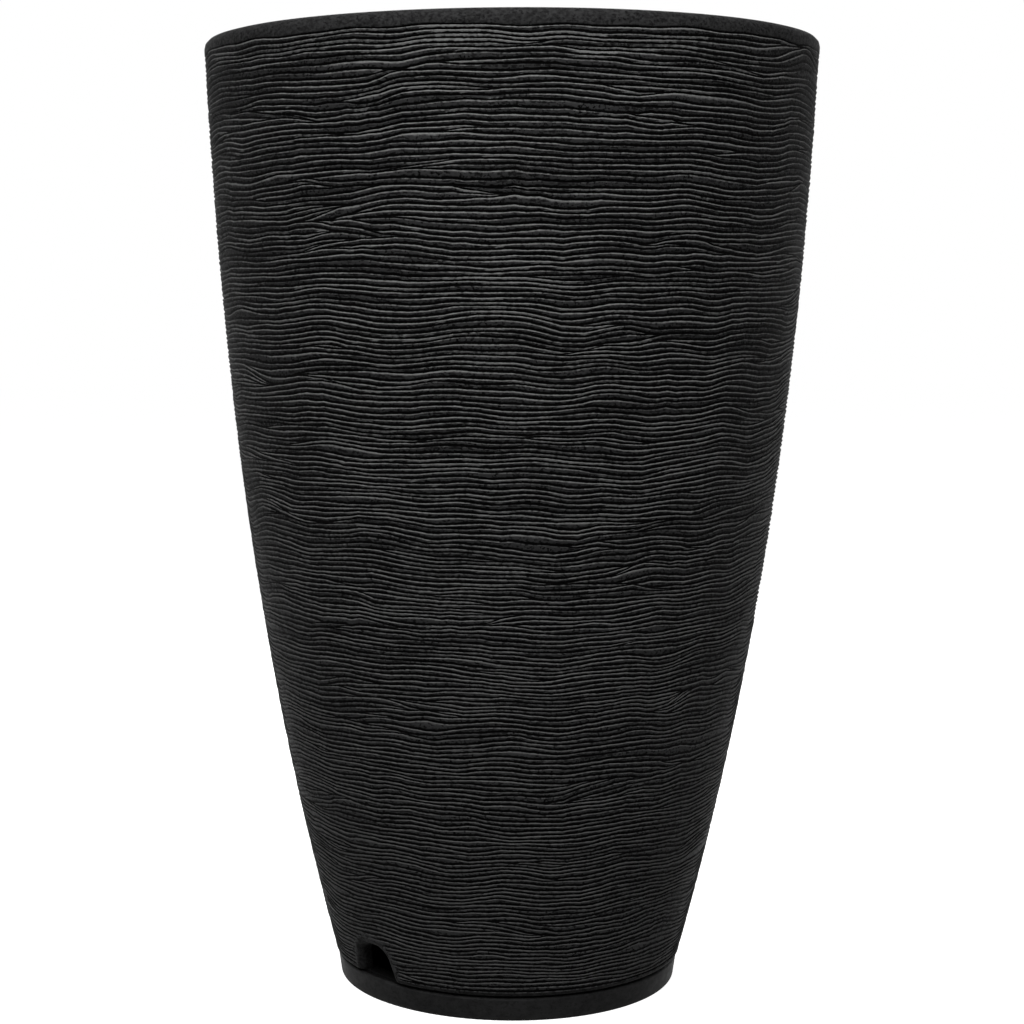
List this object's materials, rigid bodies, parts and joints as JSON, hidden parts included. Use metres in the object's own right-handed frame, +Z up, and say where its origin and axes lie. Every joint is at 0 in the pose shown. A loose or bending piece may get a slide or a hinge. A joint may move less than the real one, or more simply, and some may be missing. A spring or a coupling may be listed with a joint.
{
  "type": "planter",
  "caption": "Tall round floor planter with a swelling tapered wall combed in fine wavy ridges, a water notch in its skirt, a drip tray, a lift-out plant shelf and a drain plug.",
  "frame": {"origin": "middle of the drip tray's underside, on the floor", "axes": "+Z up along the planter's axis, -Y towards the water notch in the skirt"},
  "size_m": [0.3295, 0.3296, 0.512],
  "materials": {
    "combed_composite": "charcoal stone composite, combed in fine wavy ridges, matt with tiny pores",
    "smooth_composite": "smooth charcoal composite, satin",
    "shelf_plastic": "moulded black plastic, fine satin grain",
    "plug_rubber": "soft black rubber, matt"
  },
  "bodies": {
    "tray": {"drip_tray": "smooth_composite"},
    "pot": {"planter_pot": "combed_composite"},
    "shelf": {"plant_shelf": "shelf_plastic"},
    "plug": {"drain_plug": "plug_rubber"}
  },
  "joints": [
    {"name": "pot_lift", "type": "slide", "parent": "tray", "child": "pot", "axis": [0, 0, 1], "range_m": [0, 0.06]},
    {"name": "shelf_lift", "type": "slide", "parent": "pot", "child": "shelf", "axis": [0, 0, 1], "range_m": [0, 0.34]},
    {"name": "plug_pull", "type": "slide", "parent": "pot", "child": "plug", "axis": [0, 0, 1], "range_m": [0, 0.06]}
  ]
}
